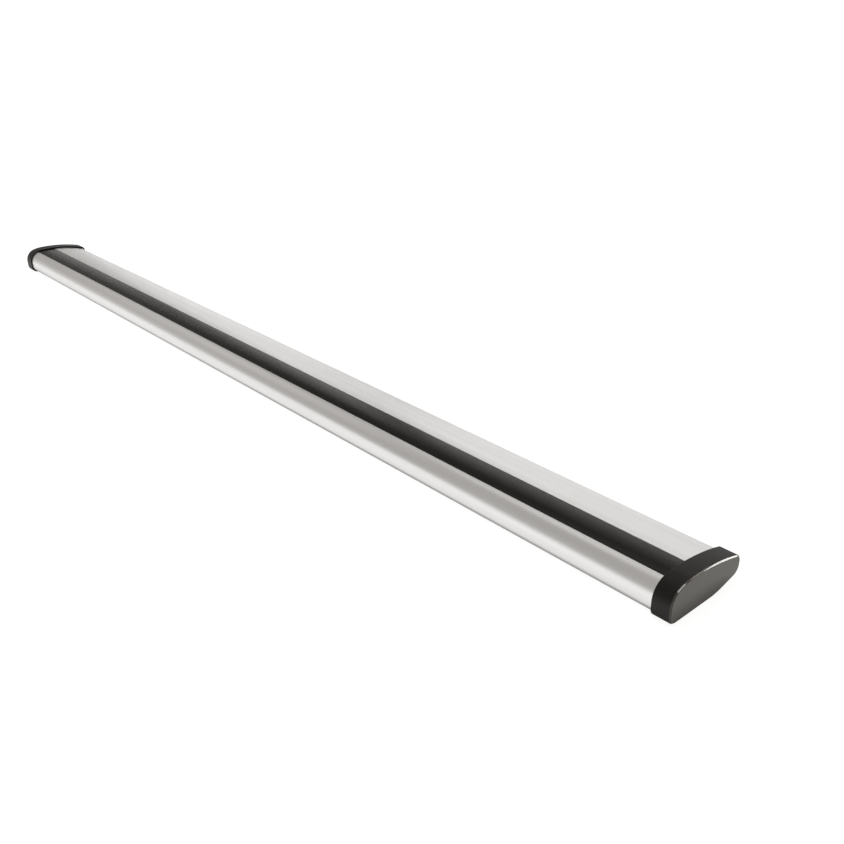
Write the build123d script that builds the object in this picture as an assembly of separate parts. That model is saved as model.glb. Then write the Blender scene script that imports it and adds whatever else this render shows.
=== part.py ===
from build123d import *
import os
from math import atan2, cos, degrees, radians, sin, sqrt

# Roof rack crossbar: a hollow aerofoil extrusion with a T-slot above and below, a rubber strip that
# fills the upper slot, and at each end a push-fit moulded cap with a bevelled trim plate.
# Millimetres. X runs along the bar, -Y is the leading edge, +Z is up. The origin lies on the ground
# under the middle of the bar, which rests on its two caps.

# Bar section: u is measured behind the leading edge, v above the flat underside
bar_length = 1166.0
bar_width = 84.0
bar_height = 29.0
crown_setback = 23.0
crown_front_radius = 50.0
shoulder_radius = 15.0
nose_radius = 7.5
flat_width = 40.5
knee_radius = 60.0
tail_rise = 14.0
tail_radius = 7.7

# Walls of the extrusion
skin = 2.0
channel_wall = 1.8
web = 2.0
rear_web_setback = 54.0
chamber_corner = 1.0
slot_corner = 0.5
mouth_round = 0.4

# Upper T-slot for accessories
slot_setback = 25.5
top_mouth = 25.6
top_undercut = 3.0
top_lip = 2.4
top_depth = 10.0

# Lower T-slot for the feet
low_mouth = 12.0
low_undercut = 5.0
low_lip = 2.6
low_depth = 9.4

# Rubber strip
strip_gap = 0.1
strip_head = 3.6
strip_foot = 1.6
strip_leg = 2.2
strip_leg_spread = 13.0
strip_round = 0.5

# End caps
cap_length = 15.5
cap_proud = 1.6
cap_nose_radius = 6.3
cap_tail_radius = 4.8
cap_tail_flat = 3.1
cap_wall = 2.5
cap_end_wall = 2.5
cap_rim_round = 0.4
rib_count = 3
rib_thickness = 1.4
rib_depth = 8.0
land_inset = 6.0
land_height = 0.5

# Tongues that push into the chambers
tongue_reach = 24.0
tongue_gap = 0.3
tongue_wall = 1.6
tongue_lead = 0.8
bead_count = 2
bead_radius = 0.8
bead_gap = 0.05

# End plates
plate_inset = 0.15
plate_edge = 0.4
plate_bevel = 1.1
land_gap = 0.15

BEYOND = 5.0      # how far a cutting block runs past the section
TINY = 0.001
SHARP = 0.05      # sine of the least turn that counts as a corner
ROUND_SHARE = 0.4  # most of a wall's length that a rounded corner takes


# Arc centres of the section, each tangent to its neighbours
rise = radians(tail_rise)
knee_setback = nose_radius + flat_width
front_centre = (crown_setback, bar_height - crown_front_radius)

# The shoulder touches the leading edge's vertical tangent and the front crown arc
shoulder_drop = crown_setback - shoulder_radius
shoulder_reach = sqrt((crown_front_radius - shoulder_radius) ** 2 - shoulder_drop ** 2)
shoulder_centre = (shoulder_radius, front_centre[1] + shoulder_reach)
front_turn = degrees(atan2(shoulder_reach, -shoulder_drop))

# The tail arc touches the trailing edge's vertical tangent and the rising underside
rise_level = (bar_width - knee_setback) * sin(rise) - knee_radius * (1 - cos(rise))
tail_lift = (rise_level + tail_radius * (1 - sin(rise))) / cos(rise)
tail_centre = (bar_width - tail_radius, tail_lift)

# Levels and limits that the pieces share
top_floor = bar_height - top_depth
bar_end = bar_length / 2
cap_end = bar_end + cap_length


def station(x):
    """Plane across the bar at x, with its own x behind the leading edge and its own y above the underside."""
    return Plane(origin=(x, -bar_width / 2, cap_proud), x_dir=(0, 1, 0), z_dir=(1, 0, 0))


def aerofoil(grow=0.0, nose=nose_radius, corner=tail_radius, flat=0.0):
    """Section outline of the bar, grown outwards by grow. The nose radius, the radius of the tail's upper
    corner and a flat below that corner can be those of another outline."""
    corner_centre = (bar_width - corner, tail_centre[1] + flat)

    # The rear crown arc is level at the crown and runs into the tail's upper corner
    run = corner_centre[0] - crown_setback
    drop = bar_height - corner_centre[1]
    crown_rear_radius = (run ** 2 + drop ** 2 - corner ** 2) / (2 * (drop - corner))
    rear_centre = (crown_setback, bar_height - crown_rear_radius)
    rear_turn = degrees(atan2(crown_rear_radius - drop, run))

    arcs = [
        CenterArc((nose, nose), nose + grow, 180, 90),
        CenterArc((knee_setback, knee_radius), knee_radius + grow, 270, tail_rise),
        CenterArc(tail_centre, tail_radius + grow, 270 + tail_rise, 90 - tail_rise),
        CenterArc(corner_centre, corner + grow, 0, rear_turn),
        CenterArc(rear_centre, crown_rear_radius + grow, rear_turn, 90 - rear_turn),
        CenterArc(front_centre, crown_front_radius + grow, 90, front_turn - 90),
        CenterArc(shoulder_centre, shoulder_radius + grow, front_turn, 180 - front_turn),
    ]
    edges = []
    for arc, following in zip(arcs, arcs[1:] + arcs[:1]):
        edges.append(arc)
        if (following @ 0 - arc @ 1).length > TINY:
            edges.append(Line(arc @ 1, following @ 0))
    return make_face(edges)


def cap_outline(inset=0.0):
    """Outline of a cap, drawn in by inset: proud of the bar all round, with a fuller nose and tail."""
    return aerofoil(cap_proud - inset, cap_nose_radius, cap_tail_radius, cap_tail_flat)


def block(u0, u1, v0, v1):
    """Rectangle between two setbacks and two heights."""
    return Pos((u0 + u1) / 2, (v0 + v1) / 2) * Rectangle(u1 - u0, v1 - v0)


def slot_block(width, v0, v1):
    """Rectangle of a width centred on the slots, between two heights."""
    return block(slot_setback - width / 2, slot_setback + width / 2, v0, v1)


def prism(sketch, x0, x1):
    """The sketch run along the bar from x0 to x1."""
    return extrude(station(x0) * sketch, amount=x1 - x0)


def bevel(sketch0, sketch1, x0, x1):
    """Straight slope from one sketch at x0 to a like one at x1."""
    return loft([station(x0) * sketch0, station(x1) * sketch1], ruled=True)


def round_mouth(sketch, width, radius, facing):
    """Round the outermost corner on each side of a slot's mouth that faces up (1) or down (-1)."""
    corners = []
    for side in (-1, 1):
        setback = slot_setback + side * width / 2
        edge = [v for v in sketch.vertices() if abs(v.X - setback) < TINY]
        corners.append(max(edge, key=lambda v: facing * v.Y))
    return fillet(corners, radius)


def round_corners(face, radius):
    """Round the sharp corners of a face."""
    sharp = []
    for corner in face.vertices():
        meeting = [edge for edge in face.edges() if edge.distance_to(corner) < TINY]
        first, second = [edge.tangent_at(Vector(corner)) for edge in meeting]
        if first.cross(second).length > SHARP:
            sharp.append(corner)
            radius = min(radius, ROUND_SHARE * min(edge.length for edge in meeting))
    return fillet(sharp, radius)


def top_slot():
    """Void of the upper T-slot: the channel under the lips and its mouth."""
    channel = slot_block(top_mouth + 2 * top_undercut, top_floor, bar_height) & aerofoil(-top_lip)
    channel = fillet(channel.vertices().group_by(Axis.Y)[0], slot_corner)
    return channel + slot_block(top_mouth, top_floor, bar_height + BEYOND)


def low_slot():
    """Void of the lower T-slot."""
    channel = slot_block(low_mouth + 2 * low_undercut, low_lip, low_depth)
    channel = fillet(channel.vertices(), slot_corner)
    return channel + slot_block(low_mouth, -BEYOND, low_depth)


def chambers():
    """Closed hollows left between the skin, the two channels and the webs."""
    top_box = slot_block(top_mouth + 2 * (top_undercut + channel_wall), top_floor - channel_wall, bar_height)
    low_box = slot_block(low_mouth + 2 * (low_undercut + channel_wall), 0, low_depth + channel_wall)
    middle_web = slot_block(web, 0, bar_height)
    rear_web = block(rear_web_setback, rear_web_setback + web, 0, bar_height)
    hollow = aerofoil(-skin) - top_box - low_box - middle_web - rear_web
    return [round_corners(face, chamber_corner) for face in hollow.faces()]


def bar_extrusion():
    """The aluminium bar."""
    section = aerofoil() - top_slot() - low_slot()
    section = round_mouth(section, top_mouth, mouth_round, 1)
    section = round_mouth(section, low_mouth, mouth_round, -1)
    for hollow in chambers():
        section -= hollow
    return prism(section, -bar_end, bar_end)


def slot_strip():
    """The rubber strip: a crowned head in the mouth, a foot under the lips and two legs on the floor."""
    head_width = top_mouth - 2 * strip_gap
    foot_width = top_mouth + 2 * (top_undercut - strip_gap)
    head = (aerofoil() - aerofoil(-strip_head)) & slot_block(head_width, top_floor, bar_height)
    foot_top = -top_lip - strip_gap
    foot = aerofoil(foot_top) - aerofoil(foot_top - strip_foot)
    section = head + (foot & slot_block(foot_width, top_floor, bar_height))
    for side in (-1, 1):
        middle = slot_setback + side * strip_leg_spread / 2
        leg = block(middle - strip_leg / 2, middle + strip_leg / 2, top_floor, bar_height)
        section += leg & aerofoil(-top_lip)
    return prism(round_mouth(section, head_width, strip_round, 1), -bar_end, bar_end)


# Where the tongues fill the chambers: the nose beside the lower channel, and the tail behind the rear web
nose_tongue_back = slot_setback - low_mouth / 2 - low_undercut - channel_wall - tongue_gap
nose_tongue_top = top_floor - channel_wall - tongue_gap
tail_tongue_front = rear_web_setback + web + tongue_gap


def nose_tongue(inset=0.0):
    """Section of the tongue in the nose chamber, drawn in by inset."""
    room = block(-BEYOND, nose_tongue_back - inset, -BEYOND, nose_tongue_top - inset)
    return round_corners((aerofoil(-skin - tongue_gap - inset) & room).face(), chamber_corner)


def tail_tongue(inset=0.0):
    """Section of the tongue in the tail chamber, drawn in by inset."""
    room = block(tail_tongue_front + inset, bar_width + BEYOND, -BEYOND, bar_height + BEYOND)
    return round_corners((aerofoil(-skin - tongue_gap - inset) & room).face(), chamber_corner)


def beads(u, facing, height):
    """Crush beads over a height of a tongue's upright wall at setback u, facing forwards (-1) or back (1)."""
    centre = u + facing * (tongue_gap - bead_gap - bead_radius)
    pitch = height / (bead_count + 1)
    levels = [number * pitch for number in range(1, bead_count + 1)]
    return Sketch() + [Pos(centre, level) * Circle(bead_radius) for level in levels]


def tongue(section, bead_row):
    """A hollow tongue from its tip in the bar to the cap's end wall, with a lead-in at the tip."""
    tip = bar_end - tongue_reach
    root = cap_end - cap_end_wall
    body = bevel(section(tongue_lead), section(), tip, tip + tongue_lead)
    body += prism(section(), tip + tongue_lead, root)
    body += prism(bead_row, tip + tongue_lead, bar_end)
    return body - prism(section(tongue_wall), tip, root)


def end_cap():
    """The right-hand moulded cap: a ribbed shell against the bar's end, with two tongues."""
    inside = cap_outline(cap_wall)
    root = cap_end - cap_end_wall
    shell = prism(cap_outline(), bar_end, cap_end) - prism(inside, bar_end, root)
    rim = shell.faces().filter_by(Axis.X).sort_by(Axis.X)[0]
    shell = fillet(rim.outer_wire().edges(), cap_rim_round)
    shell += prism(cap_outline(land_inset), cap_end, cap_end + land_height)

    rib_pitch = (tail_tongue_front - nose_tongue_back) / (rib_count + 1)
    for number in range(1, rib_count + 1):
        middle = nose_tongue_back + number * rib_pitch
        rib = block(middle - rib_thickness / 2, middle + rib_thickness / 2, -BEYOND, bar_height + BEYOND)
        shell += prism(rib & inside, root - rib_depth, root)

    shell += tongue(nose_tongue, beads(nose_tongue_back, 1, low_depth))
    shell += tongue(tail_tongue, beads(tail_tongue_front, -1, bar_height))
    return shell


def end_plate():
    """The right-hand trim plate: bevelled all round, with a pocket over the cap's raised land."""
    outline = cap_outline(plate_inset)
    brow = cap_end + plate_edge
    plate = prism(outline, cap_end, brow)
    plate += bevel(outline, cap_outline(plate_inset + plate_bevel), brow, brow + plate_bevel)
    pocket = cap_outline(land_inset - land_gap)
    return plate - prism(pocket, cap_end, cap_end + land_height + land_gap)


right_cap = end_cap()
right_plate = end_plate()
nodes = {
    "bar_extrusion": bar_extrusion(),
    "slot_strip": slot_strip(),
    "end_cap_right": right_cap,
    "end_cap_left": mirror(right_cap, about=Plane.YZ),
    "end_plate_right": right_plate,
    "end_plate_left": mirror(right_plate, about=Plane.YZ),
}

os.makedirs("parts", exist_ok=True)
for name, solid in nodes.items():
    export_step(solid, f"parts/{name}.step")
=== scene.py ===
# %% [markdown]
# # A roof rack crossbar
# The object is one aluminium bar with an aerofoil section, a rubber strip in its upper slot, and at each end
# a moulded cap with a bevelled trim plate. The CAD model gives every size and place. This lesson redraws the
# long pieces finely enough to carry smooth reflections, gives each surface its finish, and lights the bar as
# a studio would.

# %% Load the CAD frame
from math import atan2, ceil, cos, pi, radians, sin, sqrt

import bmesh
import bpy
import numpy as np
from mathutils import Matrix, Quaternion, Vector


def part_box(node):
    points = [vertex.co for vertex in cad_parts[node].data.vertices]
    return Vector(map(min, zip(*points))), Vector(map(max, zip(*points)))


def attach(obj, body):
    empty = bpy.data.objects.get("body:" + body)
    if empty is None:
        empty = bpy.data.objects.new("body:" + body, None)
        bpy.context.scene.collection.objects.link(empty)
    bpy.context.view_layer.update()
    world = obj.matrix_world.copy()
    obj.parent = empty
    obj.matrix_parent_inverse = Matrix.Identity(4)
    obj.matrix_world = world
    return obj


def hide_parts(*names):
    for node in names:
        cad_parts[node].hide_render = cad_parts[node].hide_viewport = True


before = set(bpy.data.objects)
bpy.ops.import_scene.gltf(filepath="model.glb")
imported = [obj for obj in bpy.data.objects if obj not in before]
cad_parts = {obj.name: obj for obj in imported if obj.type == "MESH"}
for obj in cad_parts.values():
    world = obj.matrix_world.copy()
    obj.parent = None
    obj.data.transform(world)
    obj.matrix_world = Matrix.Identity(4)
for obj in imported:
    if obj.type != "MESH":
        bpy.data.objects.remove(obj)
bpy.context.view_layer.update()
print("CAD nodes:", sorted(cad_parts))

# %% [markdown]
# ## The drawing of the section
# An extrusion is designed as one flat drawing, and the whole bar follows from it. The overall sizes are read
# from the CAD nodes, and the radii and wall thicknesses that no box can show are written out. All of them are
# in millimetres, because that is how such a drawing is dimensioned.

# %% Sizes of the section
MM = 0.001
bar_low, bar_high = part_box("bar_extrusion")
cap_low, cap_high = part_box("end_cap_right")
plate_low, plate_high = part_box("end_plate_right")

bar_length = (bar_high.x - bar_low.x) / MM
bar_width = (bar_high.y - bar_low.y) / MM
cap_proud = (cap_high.y - cap_low.y) / MM / 2 - bar_width / 2
bar_height = (cap_high.z - cap_low.z) / MM - 2 * cap_proud

crown_setback = 23.0
crown_front_radius = 50.0
shoulder_radius = 15.0
nose_radius = 7.5
flat_width = 40.5
knee_radius = 60.0
tail_rise = radians(14.0)
tail_radius = 7.7

skin = 2.0
channel_wall = 1.8
web = 2.0
rear_web_setback = 54.0
chamber_corner = 1.0
mouth_round = 0.4

slot_setback = 25.5
top_mouth = 25.6
top_undercut = 3.0
top_lip = 2.4
top_depth = 10.0
low_mouth = 12.0
low_undercut = 5.0
low_lip = 2.6
low_depth = 9.4
print(f"bar {bar_length:.1f} long, {bar_width:.1f} wide and {bar_height:.1f} high, in mm")
print(f"caps proud by {cap_proud:.2f} mm")

# %% [markdown]
# The outline is seven arcs that run into each other without a corner, with straight flats where two arcs
# don't meet. A spline could be drawn over it by eye, but arcs keep the curvature steady, and a metal that
# mirrors its surroundings shows any wobble. Centres follow from tangency: one circle touches another from
# inside when their centres lie one radius difference apart. The caps have the same outline with a tighter
# nose and a fuller tail, so the arcs come from a function of those sizes. Each arc always gets the same
# number of points, so that two outlines, one grown outwards from the other, can later be joined point to
# point.

# %% Outline of the aerofoil
ARC_STEP = 0.6
SAME_POINT = 1e-4
knee_setback = nose_radius + flat_width
front_centre = np.array((crown_setback, bar_height - crown_front_radius))
shoulder_run = crown_setback - shoulder_radius
shoulder_reach = sqrt((crown_front_radius - shoulder_radius) ** 2 - shoulder_run ** 2)
shoulder_centre = front_centre + (-shoulder_run, shoulder_reach)
front_turn = atan2(shoulder_reach, -shoulder_run)

rise_level = (bar_width - knee_setback) * sin(tail_rise) - knee_radius * (1 - cos(tail_rise))
tail_lift = (rise_level + tail_radius * (1 - sin(tail_rise))) / cos(tail_rise)
tail_centre = np.array((bar_width - tail_radius, tail_lift))


def section_arcs(nose, corner, flat):
    """Arcs of (centre, radius, start, end) for a nose, an upper tail corner and a flat below that corner."""
    corner_centre = np.array((bar_width - corner, tail_lift + flat))
    run, drop = corner_centre[0] - crown_setback, bar_height - corner_centre[1]
    crown_rear_radius = (run ** 2 + drop ** 2 - corner ** 2) / (2 * (drop - corner))
    rear_turn = atan2(crown_rear_radius - drop, run)
    return [
        ((nose, nose), nose, pi, 1.5 * pi),
        ((knee_setback, knee_radius), knee_radius, 1.5 * pi, 1.5 * pi + tail_rise),
        (tail_centre, tail_radius, tail_rise - pi / 2, 0),
        (corner_centre, corner, 0, rear_turn),
        ((crown_setback, bar_height - crown_rear_radius), crown_rear_radius, rear_turn, pi / 2),
        (front_centre, crown_front_radius, pi / 2, front_turn),
        (shoulder_centre, shoulder_radius, front_turn, pi),
    ]


BAR_ARCS = section_arcs(nose_radius, tail_radius, 0)


def apart(p, q):
    """Distance between two points."""
    return np.hypot(*(p - q))


def outline(grow=0.0, arcs=BAR_ARCS):
    """Closed loop of (u, v) points: u behind the leading edge, v above the underside, anticlockwise."""
    points = []
    for centre, radius, start, end in arcs:
        steps = ceil(radius * (end - start) / ARC_STEP)
        for angle in np.linspace(start, end, steps + 1):
            point = np.array(centre) + (radius + grow) * np.array((cos(angle), sin(angle)))
            if not points or apart(point, points[-1]) > SAME_POINT:
                points.append(point)
    return points[:-1] if apart(points[0], points[-1]) < SAME_POINT else points


print("outline has", len(outline()), "points; tail centre", tail_centre.round(2), "mm")

# %% [markdown]
# The slots, channels and chambers are cut into loops like that one. A Boolean on the finished bar would cut
# them too, but it leaves ragged faces that show in satin metal. Here one tool does it all on the drawing: it
# replaces the run between two points of a loop by a path. A second tool rounds each sharp corner, because a
# die for extruding has no sharp edges and neither has the bar.

# %% Tools for cutting and rounding a loop
SHARP_TURN = radians(25)
ROUND_SHARE = 0.45
CLEARANCE = 1e-3


def at(loop, u, upper):
    """Point of the loop at setback u, on its upper or its lower side."""
    heights = []
    for a, b in zip(loop, loop[1:] + loop[:1]):
        if (a[0] - u) * (b[0] - u) <= 0 and a[0] != b[0]:
            heights.append(a[1] + (b[1] - a[1]) * (u - a[0]) / (b[0] - a[0]))
    return np.array((u, max(heights) if upper else min(heights)))


def run_at(loop, point):
    """Index of the straight run of the loop that a point lies on."""
    a = np.array(loop)
    along = np.roll(a, -1, 0) - a
    share = np.clip(((point - a) * along).sum(1) / (along ** 2).sum(1), 0, 1)
    return int(np.hypot(*(a + share[:, None] * along - point).T).argmin())


def splice(loop, path):
    """The loop with the run from the path's first point to its last replaced by the path."""
    path = [np.array(point, float) for point in path]
    last, index = run_at(loop, path[0]), run_at(loop, path[-1])
    kept = []
    while not kept or index != last:
        index = (index + 1) % len(loop)
        kept.append(loop[index])
    joined = path + kept
    return [p for p, q in zip(joined, joined[1:] + joined[:1]) if apart(p, q) > SAME_POINT]


def eased(loop, reach, samples=6):
    """The loop with each sharp corner rounded over a reach on both sides of it."""
    points = np.array(loop)
    run = np.roll(points, -1, 0) - points
    lengths = np.hypot(*run.T)
    ahead = run / lengths[:, None]
    behind = np.roll(ahead, 1, 0)
    turn = np.arctan2(behind[:, 0] * ahead[:, 1] - behind[:, 1] * ahead[:, 0], (behind * ahead).sum(1))
    place = np.concatenate([[0], np.cumsum(lengths)])
    total = place[-1]
    closed = np.vstack([points, points[:1]])
    corners = np.flatnonzero(abs(turn) > SHARP_TURN)
    gaps = (place[np.roll(corners, -1)] - place[corners]) % total
    room = np.minimum(reach, ROUND_SHARE * np.minimum(gaps, np.roll(gaps, 1)))

    def spot(distance):
        return np.array([np.interp(distance % total, place, closed[:, axis]) for axis in (0, 1)])

    result = []
    for index, point in enumerate(points):
        if index in corners:
            r = room[list(corners).index(index)]
            first, second = spot(place[index] - r), spot(place[index] + r)
            for t in np.linspace(0, 1, samples):
                result.append((1 - t) ** 2 * first + 2 * t * (1 - t) * point + t ** 2 * second)
        else:
            off = abs((place[index] - place[corners] + total / 2) % total - total / 2)
            if (off > room + CLEARANCE).all():
                result.append(point)
    return result


print(f"corners of more than {SHARP_TURN:.2f} rad are rounded")

# %% [markdown]
# Now the drawing is cut. The upper slot takes carriers, with lips that follow the crown. The lower slot takes
# the bolts of the feet. Each slot is one path that goes in at one side of its mouth and out at the other.

# %% Slots of the bar
LIP_POINTS = 4
top_floor = bar_height - top_depth
outer, under_lip, inner = outline(), outline(-top_lip), outline(-skin)
front, rear = slot_setback - top_mouth / 2, slot_setback + top_mouth / 2
front_deep, rear_deep = front - top_undercut, rear + top_undercut
upper_slot = [at(outer, rear, True)]
upper_slot += [at(under_lip, u, True) for u in np.linspace(rear, rear_deep, LIP_POINTS)]
upper_slot += [(rear_deep, top_floor), (front_deep, top_floor)]
upper_slot += [at(under_lip, u, True) for u in np.linspace(front_deep, front, LIP_POINTS)]
upper_slot += [at(outer, front, True)]

low_front, low_rear = slot_setback - low_mouth / 2, slot_setback + low_mouth / 2
lower_slot = [
    (low_front, 0), (low_front, low_lip), (low_front - low_undercut, low_lip),
    (low_front - low_undercut, low_depth), (low_rear + low_undercut, low_depth),
    (low_rear + low_undercut, low_lip), (low_rear, low_lip), (low_rear, 0),
]
bar_loop = eased(splice(splice(outer, upper_slot), lower_slot), mouth_round)
print("outline with its slots:", len(bar_loop), "points")

# %% [markdown]
# What is left inside the skin is split by the channels and two webs into three chambers, which keep the bar
# light and stiff. They are cut from one inner outline, so that the skin is equally thick all round.

# %% Chambers of the bar
ceiling, floor_level = top_floor - channel_wall, low_depth + channel_wall
wall_front, wall_rear = low_front - low_undercut - channel_wall, low_rear + low_undercut + channel_wall
lip_front, lip_rear = front_deep - channel_wall, rear_deep + channel_wall
web_front, web_rear = slot_setback - web / 2, slot_setback + web / 2
nose_chamber = splice(inner, [
    at(inner, wall_front, False), (wall_front, floor_level), (web_front, floor_level),
    (web_front, ceiling), (lip_front, ceiling), at(inner, lip_front, True),
])
middle_chamber = splice(inner, [at(inner, rear_web_setback, False), at(inner, rear_web_setback, True)])
middle_chamber = splice(middle_chamber, [
    at(inner, lip_rear, True), (lip_rear, ceiling), (web_rear, ceiling),
    (web_rear, floor_level), (wall_rear, floor_level), at(inner, wall_rear, False),
])
tail_start = rear_web_setback + web
tail_chamber = splice(inner, [at(inner, tail_start, True), at(inner, tail_start, False)])
chambers = [eased(loop, chamber_corner) for loop in (nose_chamber, middle_chamber, tail_chamber)]
bar_loops = [bar_loop] + chambers
print("bar section:", [len(loop) for loop in bar_loops], "points a loop")

# %% [markdown]
# The rubber strip is an extrusion too. Its crowned head fills the mouth level with the aluminium, a foot
# holds it under the lips, and two legs stand on the floor of the slot so that it can't be pressed in.

# %% Loop of the rubber strip
HEAD_POINTS = 44
FOOT_POINTS = 8
strip_gap = 0.1
strip_foot_depth = 1.6
strip_leg = 2.2
strip_leg_spread = 13.0
strip_round = 0.5
foot_top, foot_low = outline(-top_lip - strip_gap), outline(-top_lip - strip_gap - strip_foot_depth)
head_front, head_rear = front + strip_gap, rear - strip_gap
foot_front, foot_rear = front_deep + strip_gap, rear_deep - strip_gap
first_leg, last_leg = slot_setback - strip_leg_spread / 2, slot_setback + strip_leg_spread / 2

strip_loop = [at(outer, u, True) for u in np.linspace(head_rear, head_front, HEAD_POINTS)]
strip_loop += [at(foot_top, u, True) for u in np.linspace(head_front, foot_front, LIP_POINTS)]
strip_loop += [at(foot_low, u, True) for u in np.linspace(foot_front, first_leg, FOOT_POINTS)[:-1]]
for leg in (first_leg, last_leg):
    leg_front, leg_rear = leg - strip_leg / 2, leg + strip_leg / 2
    strip_loop += [at(foot_low, leg_front, True), (leg_front, top_floor)]
    strip_loop += [(leg_rear, top_floor), at(foot_low, leg_rear, True)]
strip_loop += [at(foot_low, u, True) for u in np.linspace(last_leg, foot_rear, FOOT_POINTS)[2:]]
strip_loop += [at(foot_top, u, True) for u in np.linspace(foot_rear, head_rear, LIP_POINTS)]
strip_loop = eased([np.array(point) for point in strip_loop], strip_round)
print("strip section:", len(strip_loop), "points")

# %% [markdown]
# ## Extruding with Geometry Nodes
# Both long pieces follow one rule: fill the drawing, then push it along the bar. A small node tree does this
# as the press does. Loops inside a loop become hollows, so the chambers need no cutting. The tree turns the
# drawing upright at the end, keeps corners crisp by their angle, and sets the finish.

# %% The extrusion tree
WELD_DISTANCE = 1e-6


def extrusion_tree():
    """Node tree that fills section loops, extrudes them along the bar and sets a finish."""
    tree = bpy.data.node_groups.new("extrude_section", "GeometryNodeTree")
    sockets = {}
    for name, kind in (("Section", "Geometry"), ("Length", "Float"), ("Start", "Vector"),
                       ("Crease Angle", "Float"), ("Finish", "Material")):
        socket = tree.interface.new_socket(name, in_out="INPUT", socket_type="NodeSocket" + kind)
        sockets[name] = socket.identifier
    tree.interface.new_socket("Piece", in_out="OUTPUT", socket_type="NodeSocketGeometry")
    node, link = tree.nodes.new, tree.links.new
    given, result = node("NodeGroupInput"), node("NodeGroupOutput")
    loops, fill = node("GeometryNodeMeshToCurve"), node("GeometryNodeFillCurve")
    fill.mode = "NGONS"
    push, flip = node("GeometryNodeExtrudeMesh"), node("GeometryNodeFlipFaces")
    push.mode = "FACES"
    push.inputs["Individual"].default_value = False
    join, weld = node("GeometryNodeJoinGeometry"), node("GeometryNodeMergeByDistance")
    weld.inputs["Distance"].default_value = WELD_DISTANCE
    stand = node("GeometryNodeTransform")
    stand.inputs["Rotation"].default_value = (pi / 2, 0, pi / 2)
    smooth, crease = node("GeometryNodeSetShadeSmooth"), node("GeometryNodeSetShadeSmooth")
    crease.domain = "EDGE"
    crease.inputs["Shade Smooth"].default_value = False
    angle, sharper = node("GeometryNodeInputMeshEdgeAngle"), node("FunctionNodeCompare")
    sharper.data_type, sharper.operation = "FLOAT", "GREATER_THAN"
    realize, coat = node("GeometryNodeRealizeInstances"), node("GeometryNodeSetMaterial")
    link(given.outputs["Section"], loops.inputs["Mesh"])
    link(loops.outputs["Curve"], fill.inputs["Curve"])
    link(fill.outputs["Mesh"], push.inputs["Mesh"])
    link(given.outputs["Length"], push.inputs["Offset Scale"])
    link(fill.outputs["Mesh"], flip.inputs["Mesh"])
    link(push.outputs["Mesh"], join.inputs["Geometry"])
    link(flip.outputs["Mesh"], join.inputs["Geometry"])
    link(join.outputs["Geometry"], weld.inputs["Geometry"])
    link(weld.outputs["Geometry"], stand.inputs["Geometry"])
    link(given.outputs["Start"], stand.inputs["Translation"])
    link(stand.outputs["Geometry"], smooth.inputs["Geometry"])
    link(smooth.outputs["Geometry"], crease.inputs["Geometry"])
    link(angle.outputs["Unsigned Angle"], sharper.inputs[0])
    link(given.outputs["Crease Angle"], sharper.inputs[1])
    link(sharper.outputs["Result"], crease.inputs["Selection"])
    link(crease.outputs["Geometry"], realize.inputs["Geometry"])
    link(realize.outputs["Geometry"], coat.inputs["Geometry"])
    link(given.outputs["Finish"], coat.inputs["Material"])
    link(coat.outputs["Geometry"], result.inputs["Piece"])
    return tree, sockets


EXTRUDE, EXTRUDE_SOCKETS = extrusion_tree()
print("tree inputs:", list(EXTRUDE_SOCKETS))

# %% [markdown]
# A piece is made by giving its drawing to the tree. The result is then copied to a plain mesh, so that the
# piece carries no modifier, and the drawing is thrown away.

# %% Pressing a piece
SCENE = bpy.context.scene
PRESS_CREASE = radians(30)
section_start = Vector((bar_low.x, bar_low.y, cap_proud * MM))


def show(name, mesh):
    """A new object of the mesh in the scene, with its size printed."""
    piece = bpy.data.objects.new(name, mesh)
    SCENE.collection.objects.link(piece)
    print(name, "has", len(mesh.polygons), "faces, box", [round(length, 4) for length in piece.dimensions])
    return piece


def extruded(name, loops, length, start, finish):
    """A plain mesh piece: the loops, in millimetres, extruded by the tree."""
    drawing = bpy.data.meshes.new(name + "_drawing")
    corners, edges = [], []
    for loop in loops:
        first, count = len(corners), len(loop)
        corners += [(point[0] * MM, point[1] * MM, 0) for point in loop]
        edges += [(first + i, first + (i + 1) % count) for i in range(count)]
    drawing.from_pydata(corners, edges, [])
    maker = bpy.data.objects.new(name + "_maker", drawing)
    SCENE.collection.objects.link(maker)
    press = maker.modifiers.new("press", "NODES")
    press.node_group = EXTRUDE
    settings = {"Length": length, "Start": start, "Crease Angle": PRESS_CREASE, "Finish": finish}
    for socket, value in settings.items():
        press[EXTRUDE_SOCKETS[socket]] = value
    mesh = bpy.data.meshes.new_from_object(maker.evaluated_get(bpy.context.evaluated_depsgraph_get()))
    bpy.data.objects.remove(maker)
    bpy.data.meshes.remove(drawing)
    mesh.name = name
    return show(name, mesh)


print("pieces start at", tuple(round(c, 4) for c in section_start))

# %% [markdown]
# ## Finishes
# Every finish is built from noise that is measured in the object's own metres, so it stays on the surface
# from any side. An image could give the same look, but noise has no seams and no edge. The helpers below
# make the few kinds of node that all the finishes share.

# %% Helpers for the finishes
BUMP_DISTANCE = 0.0001


def put(tree, value, socket):
    """Set a socket to a value, or feed it from another socket."""
    if isinstance(value, bpy.types.NodeSocket):
        tree.links.new(value, socket)
    else:
        socket.default_value = value


def new_finish(name):
    """A new material, with its tree, its shader and the object's coordinates."""
    material = bpy.data.materials.new(name)
    material.use_nodes = True
    tree = material.node_tree
    shader = tree.nodes["Principled BSDF"]
    coordinates = tree.nodes.new("ShaderNodeTexCoord").outputs["Object"]
    return material, tree, shader, coordinates


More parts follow.
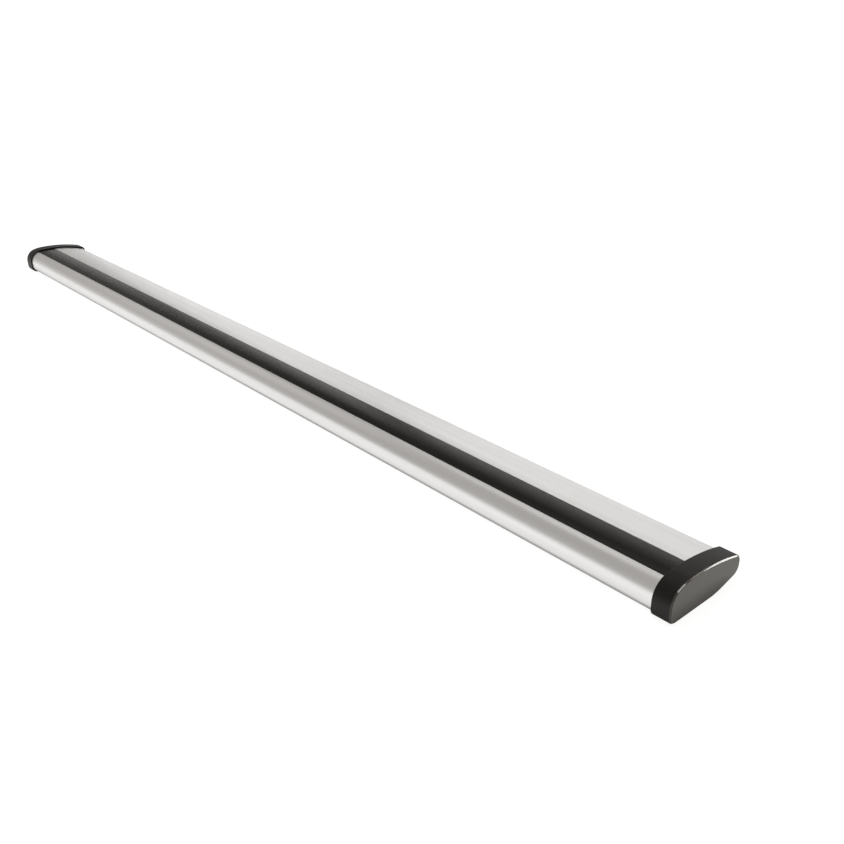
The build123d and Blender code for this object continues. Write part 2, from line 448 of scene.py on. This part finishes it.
def noise(tree, coordinates, scale, detail=2.0, roughness=0.5):
    """Noise with its own scale along X, Y and Z, in cycles a metre."""
    mapping = tree.nodes.new("ShaderNodeMapping")
    mapping.inputs["Scale"].default_value = scale
    texture = tree.nodes.new("ShaderNodeTexNoise")
    texture.inputs["Scale"].default_value = 1.0
    texture.inputs["Detail"].default_value = detail
    texture.inputs["Roughness"].default_value = roughness
    tree.links.new(coordinates, mapping.inputs["Vector"])
    tree.links.new(mapping.outputs["Vector"], texture.inputs["Vector"])
    return texture.outputs["Fac"]


def span(tree, value, low, high, start=0.3, end=0.7, smooth=False):
    """The value, over the range from start to end, turned into one from low to high."""
    node = tree.nodes.new("ShaderNodeMapRange")
    node.interpolation_type = "SMOOTHSTEP" if smooth else "LINEAR"
    for name, number in (("From Min", start), ("From Max", end), ("To Min", low), ("To Max", high)):
        put(tree, number, node.inputs[name])
    tree.links.new(value, node.inputs["Value"])
    return node.outputs["Result"]


def times(tree, first, second):
    """The product of two values."""
    node = tree.nodes.new("ShaderNodeMath")
    node.operation = "MULTIPLY"
    tree.links.new(first, node.inputs[0])
    tree.links.new(second, node.inputs[1])
    return node.outputs["Value"]


def shade(tree, value, dark, light):
    """A colour between dark and light, by a value from 0 to 1."""
    node = tree.nodes.new("ShaderNodeMix")
    node.data_type = "RGBA"
    colours = [socket for socket in node.inputs if socket.type == "RGBA"]
    colours[0].default_value, colours[1].default_value = (*dark, 1), (*light, 1)
    tree.links.new(value, node.inputs["Factor"])
    return [socket for socket in node.outputs if socket.type == "RGBA"][0]


def dress(material, shader, looks, heights):
    """Give the shader its looks, by the names of its sockets, and bumps from (height, strength) in turn."""
    tree = material.node_tree
    for name, value in looks.items():
        put(tree, value, shader.inputs[name])
    normal = None
    for height, strength in heights:
        node = tree.nodes.new("ShaderNodeBump")
        node.inputs["Strength"].default_value = strength
        node.inputs["Distance"].default_value = BUMP_DISTANCE
        tree.links.new(height, node.inputs["Height"])
        if normal:
            tree.links.new(normal, node.inputs["Normal"])
        normal = node.outputs["Normal"]
    tree.links.new(normal, shader.inputs["Normal"])
    print(material.name, "has", len(tree.nodes), "nodes")


# %% [markdown]
# ### Anodised aluminium
# The die drags fine lines along the bar, and the etching before anodising leaves a satin grain over them. The
# lines are noise stretched along X, which follows the bar without any unwrapping.

# %% Aluminium
aluminium, tree, shader, spots = new_finish("anodised_aluminium")
lines = noise(tree, spots, scale=(5, 1500, 1500), detail=3, roughness=0.6)
streaks = noise(tree, spots, scale=(1.5, 160, 160))
grain = noise(tree, spots, scale=(5000, 5000, 5000), detail=1)
dress(aluminium, shader, {
    "Base Color": shade(tree, span(tree, streaks, 0, 1), (0.82, 0.815, 0.81), (0.88, 0.875, 0.87)),
    "Roughness": span(tree, lines, 0.32, 0.42),
    "Metallic": 1.0,
}, [(lines, 0.12), (grain, 0.06)])

# %% [markdown]
# ### Rubber strip
# Extruded rubber is nearly black, with a soft sheen and faint flow lines along it. Most of what is seen of it
# is the sheen, so the colour under it is kept very dark.

# %% Rubber
rubber, tree, shader, spots = new_finish("strip_rubber")
flow = noise(tree, spots, scale=(4, 900, 900))
bloom = noise(tree, spots, scale=(60, 60, 60), detail=3)
pores = noise(tree, spots, scale=(3000, 3000, 3000))
dress(rubber, shader, {
    "Base Color": shade(tree, span(tree, bloom, 0, 1), (0.0058, 0.0042, 0.0030), (0.0082, 0.0062, 0.0046)),
    "Roughness": span(tree, flow, 0.22, 0.24),
    "Specular IOR Level": 0.25,
}, [(flow, 0.025), (pores, 0.12)])

# %% [markdown]
# ### Cap plastic
# The mould is spark eroded, which leaves an even fine grain on the black plastic. The same noise roughens the
# surface and raises it, as the grain does both at once.

# %% Cap plastic
plastic, tree, shader, spots = new_finish("cap_plastic")
eroded = noise(tree, spots, scale=(2200, 2200, 2200))
tone = noise(tree, spots, scale=(45, 45, 45))
dress(plastic, shader, {
    "Base Color": shade(tree, span(tree, tone, 0, 1), (0.0072, 0.0052, 0.0032), (0.0102, 0.0076, 0.0052)),
    "Roughness": span(tree, eroded, 0.40, 0.54),
    "Specular IOR Level": 0.3,
}, [(eroded, 0.30)])

# %% [markdown]
# ### Gunmetal plate
# The trim plate is lacquered in a dark metallic grey, and a clear gloss over it gives the bevel its bright
# line. The Coat inputs are made for such a layer, so the lacquer below needs no gloss of its own.

# %% Plate lacquer
gunmetal, tree, shader, spots = new_finish("plate_gunmetal")
flakes = noise(tree, spots, scale=(6500, 6500, 6500), detail=1)
cloud = noise(tree, spots, scale=(90, 90, 90))
dress(gunmetal, shader, {
    "Base Color": shade(tree, span(tree, flakes, 0, 1), (0.047, 0.041, 0.033), (0.063, 0.056, 0.046)),
    "Roughness": span(tree, cloud, 0.22, 0.28),
    "Metallic": 0.3,
    "Specular IOR Level": 0.0,
    "Coat Weight": 0.62,
    "Coat Roughness": 0.06,
}, [(flakes, 0.05)])

# %% [markdown]
# ## The pieces
# The bar and its strip come from the press above. Each replaces its CAD node in the picture, and the node
# stays in the physics model.

# %% Bar and strip
bar = extruded("bar", bar_loops, bar_length * MM, section_start, aluminium)
strip = extruded("rubber_strip", [strip_loop], bar_length * MM, section_start, rubber)
long_pieces = ((bar, "bar_extrusion", "anodised_aluminium"), (strip, "slot_strip", "strip_rubber"))
for piece, node, slot in long_pieces:
    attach(piece, "bar")
    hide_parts(node)

# %% [markdown]
# The trim plate has the cap's outline, a little smaller, stacked in thin slices: a straight edge, a bevel and
# a flat face. A Bevel modifier could cut the slope, but stacking slices lets both ends of it be rounded by a
# fraction of a millimetre, which is what makes a real bevel flash in the light. An extra slice just inside
# the face keeps the face's shading flat.

# %% Slices
STACK_CREASE = radians(35)


def stacked(name, slices, arcs, finish, mirrored):
    """A closed mesh through slices of (x, grow) in millimetres, at the right-hand end or mirrored."""
    hand = -1 if mirrored else 1
    shape = bmesh.new()
    rings = []
    for x, grow in slices:
        ring = [(hand * x * MM, u * MM + bar_low.y, (v + cap_proud) * MM) for u, v in outline(grow, arcs)]
        rings.append([shape.verts.new(corner) for corner in ring])
    for below, above in zip(rings, rings[1:]):
        for i in range(len(below)):
            j = (i + 1) % len(below)
            shape.faces.new((below[i], below[j], above[j], above[i]))
    shape.faces.new(rings[0])
    shape.faces.new(rings[-1])
    bmesh.ops.recalc_face_normals(shape, faces=shape.faces)
    mesh = bpy.data.meshes.new(name)
    shape.to_mesh(mesh)
    shape.free()
    mesh.materials.append(finish)
    mesh.polygons.foreach_set("use_smooth", [True] * len(mesh.polygons))
    mesh.set_sharp_from_angle(angle=STACK_CREASE)
    return show(name, mesh)


def corner_slices(before, corner, after, reach, count=5):
    """Slices that round a corner of the profile between two neighbours."""
    corner, ends = np.array(corner, float), []
    for neighbour in (before, after):
        toward = np.array(neighbour, float) - corner
        ends.append(corner + toward / np.hypot(*toward) * reach)
    result = []
    for t in np.linspace(0, 1, count):
        result.append(tuple((1 - t) ** 2 * ends[0] + 2 * t * (1 - t) * corner + t ** 2 * ends[1]))
    return result


print(f"edges of more than {STACK_CREASE:.2f} rad stay sharp")

# %% [markdown]
# The back of the plate has a shallow pocket that seats on a raised land of the cap, so the stack starts at
# the bottom of that pocket and works outwards to the face.

# %% Trim plates
cap_nose_radius = 6.3
cap_tail_radius = 4.8
cap_tail_flat = 3.1
plate_inset = 0.15
plate_edge = 0.4
plate_bevel = 1.1
ridge_round = 0.3
edge_round = 0.15
flat_hold = 0.12
flat_reach = 1.0
pocket_inset = 5.85
pocket_depth = 0.65
cap_arcs = section_arcs(cap_nose_radius, cap_tail_radius, cap_tail_flat)
print("slices have", len(outline(0, cap_arcs)), "corners each")
plate_back, plate_face = plate_low.x / MM, plate_high.x / MM
rim, pocket = cap_proud - plate_inset, cap_proud - pocket_inset
foot, brow = (plate_back, rim), (plate_back + plate_edge, rim)
ridge, middle = (plate_face, rim - plate_bevel), (plate_face, rim - plate_bevel - flat_reach)
plate_slices = [(plate_back + pocket_depth, pocket), (plate_back, pocket), foot]
plate_slices += corner_slices(foot, brow, ridge, edge_round)
plate_slices += corner_slices(brow, ridge, middle, ridge_round)
plate_slices += [(plate_face, rim - plate_bevel - ridge_round - flat_hold)]
plates = bpy.data.collections.new("trim_plates")
for hand, mirrored in (("right", False), ("left", True)):
    plate = stacked("trim_plate_" + hand, plate_slices, cap_arcs, gunmetal, mirrored)
    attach(plate, hand + "_cap")
    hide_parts("end_plate_" + hand)
    plates.objects.link(plate)

# %% [markdown]
# The moulded caps have their true shape in the CAD model, with a rounded rim, ribs and tongues, so their
# nodes stay and only take the finish.

# %% Caps
for hand in ("right", "left"):
    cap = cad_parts["end_cap_" + hand]
    cap.data.materials.clear()
    cap.data.materials.append(plastic)
    print(cap.name, "takes", plastic.name)

# %% [markdown]
# ## Studio
# The bar lies on pale paper. Real paper goes grey under soft light, so a glow lifts it to white for the
# camera. Metal must mirror the same paper, so reflections get a glow too. In reflections that glow carries
# painted shade: ambient occlusion dims it in the narrow gap under the bar, a painted shadow that draws the
# dark line along its lower edge, and it fades a little away from the bar, a painted falloff of light like
# paper in a studio that is lit over one spot. Light that only bounces sees the plain paper.

# %% Floor
FLOOR_HALF = 20.0
FLOOR_LEVEL = -0.0004
PLAIN_ALBEDO = 0.8
SEEN_ALBEDO = 0.45
MIRRORED_ALBEDO = 0.4
PAPER_GLOW = 0.88
FRONT_FADE = 0.70
REAR_FADE = 0.80
CONTACT_REACH = 0.014
floor_mesh = bpy.data.meshes.new("floor")
corner_signs = ((-1, -1), (1, -1), (1, 1), (-1, 1))
floor_corners = [(x * FLOOR_HALF, y * FLOOR_HALF, FLOOR_LEVEL) for x, y in corner_signs]
floor_mesh.from_pydata(floor_corners, [], [(0, 1, 2, 3)])
floor = bpy.data.objects.new("floor", floor_mesh)
SCENE.collection.objects.link(floor)
paper = bpy.data.materials.new("floor_paper")
paper.use_nodes = True
tree = paper.node_tree
tree.nodes.remove(tree.nodes["Principled BSDF"])


def paper_shader(albedo, glow):
    """Paper of an albedo, lifted towards white by a glow."""
    matt, light = tree.nodes.new("ShaderNodeBsdfDiffuse"), tree.nodes.new("ShaderNodeEmission")
    both = tree.nodes.new("ShaderNodeAddShader")
    matt.inputs["Color"].default_value = (albedo, albedo, albedo, 1)
    put(tree, glow, light.inputs["Strength"])
    tree.links.new(matt.outputs[0], both.inputs[0])
    tree.links.new(light.outputs[0], both.inputs[1])
    return both.outputs[0]


place = tree.nodes.new("ShaderNodeSeparateXYZ")
tree.links.new(tree.nodes.new("ShaderNodeTexCoord").outputs["Object"], place.inputs["Vector"])
# Painted light: the glow that metal mirrors fades with distance in front of and behind the bar.
painted_front_fade = span(tree, place.outputs["Y"], FRONT_FADE, 1.0, start=-0.8, end=-0.1)
painted_rear_fade = span(tree, place.outputs["Y"], PAPER_GLOW, REAR_FADE * PAPER_GLOW, start=0.05, end=0.3)
# Painted shadow: ambient occlusion, squared, dims that mirrored glow in the narrow gap under the bar.
gap = tree.nodes.new("ShaderNodeAmbientOcclusion")
gap.inputs["Distance"].default_value = CONTACT_REACH
painted_gap_shade = times(tree, gap.outputs["AO"], gap.outputs["AO"])
painted_mirrored_glow = times(tree, painted_gap_shade, times(tree, painted_front_fade, painted_rear_fade))

path = tree.nodes.new("ShaderNodeLightPath")
surface = paper_shader(PLAIN_ALBEDO, 0.0)
mirrored_paper = paper_shader(MIRRORED_ALBEDO, painted_mirrored_glow)
seen_paper = paper_shader(SEEN_ALBEDO, PAPER_GLOW)
for rays, look in (("Transmission", mirrored_paper), ("Glossy", mirrored_paper), ("Camera", seen_paper)):
    pick = tree.nodes.new("ShaderNodeMixShader")
    tree.links.new(path.outputs[f"Is {rays} Ray"], pick.inputs["Fac"])
    tree.links.new(surface, pick.inputs[1])
    tree.links.new(look, pick.inputs[2])
    surface = pick.outputs[0]
tree.links.new(surface, tree.nodes["Material Output"].inputs["Surface"])
floor_mesh.materials.append(paper)
print("floor paper has", len(tree.nodes), "nodes")

# %% [markdown]
# Satin metal shows its lamps, so they are placed by what the bar mirrors. Three wide softboxes stand behind
# the bar, and the top of the bar mirrors them from end to end. Each ends in a brighter crest, and each is
# tilted so that the crest lies along the strip's rear edge in the reflection: the rear of the strip gets a
# soft sheen from it, and the front half looks over it into the dark. One softbox overhead and one on the left
# light the front lip. Three lamps on the right are there for the bevel and the face of the plate. A studio
# keeps such lamps off the rest with flags, and light linking does the same here.

# %% Softboxes
LAMP_TINT = (1.0, 0.993, 0.985)
CREST_HEIGHT = 0.16


def softbox(name, place, aim, size, radiance, crest=0.0, tilt=0.0, lit=None):
    """A white area lamp turned to a point and tilted, with a crest on top, for all or for one collection."""
    width, height = size
    lamp = bpy.data.lights.new(name, "AREA")
    lamp.shape = "RECTANGLE"
    lamp.size, lamp.size_y = width, height
    lamp.energy = radiance * pi * width * height
    lamp.color = LAMP_TINT
    box = bpy.data.objects.new(name, lamp)
    turn = (Vector(aim) - Vector(place)).to_track_quat("-Z", "Y") @ Quaternion((0, 0, 1), radians(tilt))
    box.location = place
    box.rotation_euler = turn.to_euler()
    box.visible_camera = False
    box.light_linking.receiver_collection = lit
    SCENE.collection.objects.link(box)
    print(name, f"{lamp.energy:.1f} W")
    if crest:
        step = turn @ Vector((0, (height + CREST_HEIGHT) / 2, 0))
        crest_size = (width, CREST_HEIGHT)
        softbox(name + "_crest", Vector(place) + step, Vector(aim) + step, crest_size, crest, tilt=tilt)


softbox("left_softbox", (-2.03, 1.63, 0.40), aim=(0.02, 0.03, 0.05), size=(1.16, 0.71),
        radiance=0.71, crest=2.0, tilt=-40)
softbox("far_softbox", (-2.63, 0.66, 0.085), aim=(-0.53, -0.09, -0.05), size=(1.18, 0.29),
        radiance=0.65, crest=1.0, tilt=-30)
softbox("rear_softbox", (-0.45, 1.75, 0.45), aim=(0.3, 0, 0.02), size=(1.5, 0.90),
        radiance=0.645, crest=2.0, tilt=-12)
softbox("overhead_softbox", (-0.1, 0.42, 1.25), aim=(0.25, 0, 0.02), size=(1.2, 0.8), radiance=0.50)
softbox("lip_softbox", (-1.21, -0.20, 0.93), aim=(0.05, -0.03, 0.02), size=(1.05, 0.66), radiance=0.20)
plate_spot = (0.6, 0, 0.02)
softbox("bevel_softbox", (1.273, 1.513, 0.40), plate_spot, size=(0.63, 0.45), radiance=15.0, lit=plates)
softbox("bridge_softbox", (1.475, 1.19, 0.64), plate_spot, size=(0.50, 0.30), radiance=2.6, lit=plates)
softbox("side_softbox", (1.848, 0.311, 0.79), plate_spot, size=(0.97, 0.26), radiance=11.0, lit=plates)

# %% [markdown]
# The room is what the bar mirrors between the lamps. It is dark behind the bar, so that the strip stays
# black, and a middle grey in front, which draws the grey band along the shoulder. To the sides it is lighter
# near the horizon, which softens the step from that band to the mirrored paper. All this depends only on the
# direction, which the world gives as Generated coordinates.

# %% Room
ROOM_FRONT = 0.43
ROOM_SIDE_HORIZON = 0.74
ROOM_REAR = 0.22
ROOM_TINT = (1.0, 0.968, 0.925, 1)
world = bpy.data.worlds.new("studio")
SCENE.world = world
world.use_nodes = True
room = world.node_tree
facing = room.nodes.new("ShaderNodeSeparateXYZ")
room.links.new(room.nodes.new("ShaderNodeTexCoord").outputs["Generated"], facing.inputs["Vector"])
depth, level = facing.outputs["Y"], facing.outputs["Z"]
horizon = span(room, depth, ROOM_FRONT, ROOM_SIDE_HORIZON, start=-0.7, end=-0.35)
wall = span(room, level, horizon, ROOM_FRONT, start=0.0, end=0.35, smooth=True)
strength = span(room, depth, wall, ROOM_REAR, start=0.05, end=0.35, smooth=True)
room.links.new(strength, room.nodes["Background"].inputs["Strength"])
room.nodes["Background"].inputs["Color"].default_value = ROOM_TINT
print("room has", len(room.nodes), "nodes")

# %% [markdown]
# ## Camera
# The photograph's camera was worked out from the straight edges of the bar and the outlines of its caps. Its
# direction is given by two angles and a slight roll, from which the axes of the camera follow.

# %% Camera
IMAGE_SIDE = 844
focal_pixels = 960.5
camera_place = (0.9029, -0.5290, 0.4385)
azimuth, elevation, roll = radians(49.46), radians(26.30), radians(1.44)
ahead = Vector((-sin(azimuth) * cos(elevation), cos(azimuth) * cos(elevation), -sin(elevation)))
level_right = ahead.cross(Vector((0, 0, 1))).normalized()
level_down = ahead.cross(level_right)
right = level_right * cos(roll) + level_down * sin(roll)
down = ahead.cross(right)
lens = bpy.data.cameras.new("camera")
lens.sensor_width = 36.0
lens.lens = focal_pixels / IMAGE_SIDE * lens.sensor_width
lens.clip_end = 100.0
camera = bpy.data.objects.new("camera", lens)
camera_turn = Matrix((right, -down, -ahead)).transposed().to_4x4()
camera.matrix_world = Matrix.Translation(camera_place) @ camera_turn
SCENE.collection.objects.link(camera)
SCENE.camera = camera
SCENE.view_settings.view_transform = "Standard"
print(f"lens {lens.lens:.2f} mm")
